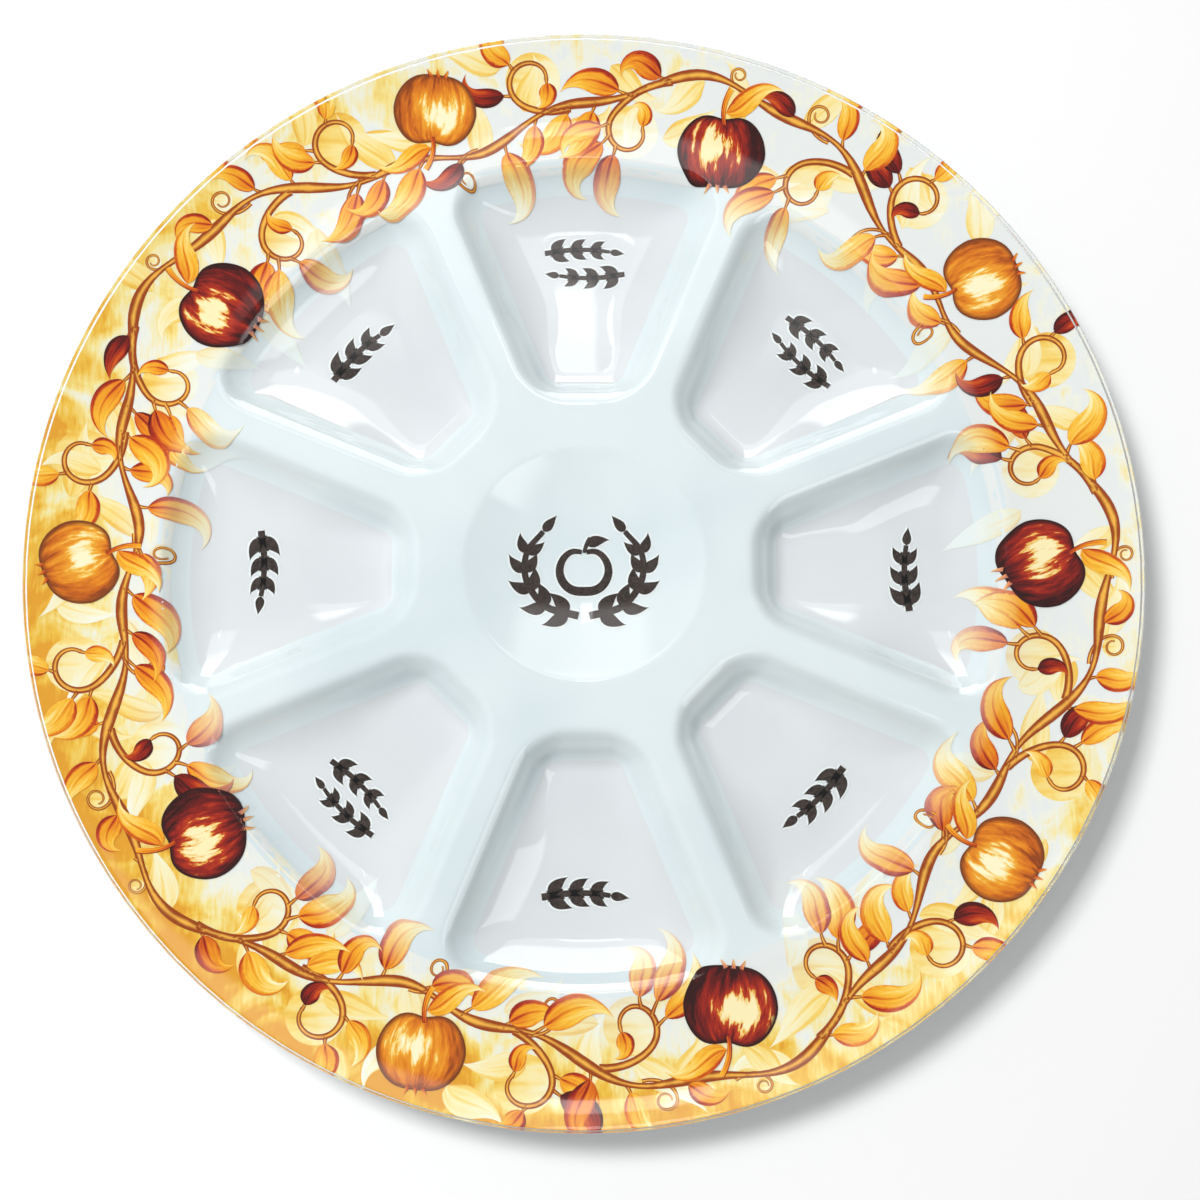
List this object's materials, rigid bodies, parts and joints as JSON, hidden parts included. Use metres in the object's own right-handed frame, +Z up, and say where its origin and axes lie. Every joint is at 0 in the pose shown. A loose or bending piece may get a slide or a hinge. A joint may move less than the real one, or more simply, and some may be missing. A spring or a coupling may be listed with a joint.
{
  "type": "sectioned serving plate",
  "caption": "Round clear glass serving plate with tapered food wells round a shallow centre recess, a printed and coated underside and soft bumper feet.",
  "frame": {"origin": "on the surface the plate stands on, under its middle, at the tread of the bumper feet", "axes": "+Z up, out of the food side; +X along the middle of the first well; +Y along the middle of the third well, the top of the plate as pictured"},
  "size_m": [0.3998, 0.3998, 0.0283],
  "materials": {
    "clear_glass": "polished, tempered",
    "white_coat": "fired white enamel, satin on its back",
    "border_print": "fired colour transfer seen through glass",
    "dark_print": "fired dark transfer seen through glass",
    "clear_bumper": "clear soft silicone"
  },
  "bodies": {
    "root": {"glass_plate": "clear_glass", "white_backing": "white_coat", "border_transfer": "border_print", "centre_transfer": "dark_print", "well_transfer_1": "dark_print", "well_transfer_2": "dark_print", "well_transfer_3": "dark_print", "well_transfer_4": "dark_print", "well_transfer_5": "dark_print", "well_transfer_6": "dark_print", "well_transfer_7": "dark_print", "well_transfer_8": "dark_print", "bumper_foot_1": "clear_bumper", "bumper_foot_2": "clear_bumper", "bumper_foot_3": "clear_bumper", "bumper_foot_4": "clear_bumper"}
  },
  "joints": []
}
